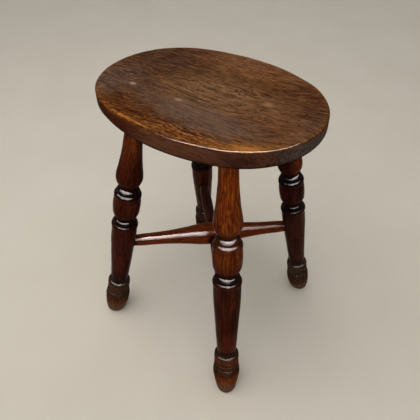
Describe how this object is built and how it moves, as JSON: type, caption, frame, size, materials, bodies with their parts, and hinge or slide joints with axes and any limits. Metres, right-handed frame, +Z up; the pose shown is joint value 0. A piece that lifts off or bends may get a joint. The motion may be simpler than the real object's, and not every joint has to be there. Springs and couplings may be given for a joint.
{
  "type": "stool",
  "caption": "Oval-topped wooden stool: a dished seat board on splayed turned legs socketed into it, tied low down by a long stretcher with a swelled middle and two slim stretchers let into the swelling.",
  "frame": {"origin": "on the floor, at the middle of the stool's footprint", "axes": "+Z up, X along the seat's long axis, -Y towards the front long side"},
  "size_m": [0.326, 0.3143, 0.457],
  "materials": {
    "seat_elm": "worn wax over dark stain, satin",
    "leg_beech": "dark red-brown French polish, glossy on the rings",
    "stretcher_beech": "red-brown French polish, glossy"
  },
  "bodies": {
    "root": {"seat": "seat_elm", "leg_front_left": "leg_beech", "leg_front_right": "leg_beech", "leg_back_left": "leg_beech", "leg_back_right": "leg_beech", "stretcher_long": "stretcher_beech", "stretcher_short_front": "stretcher_beech", "stretcher_short_back": "stretcher_beech"}
  },
  "joints": []
}
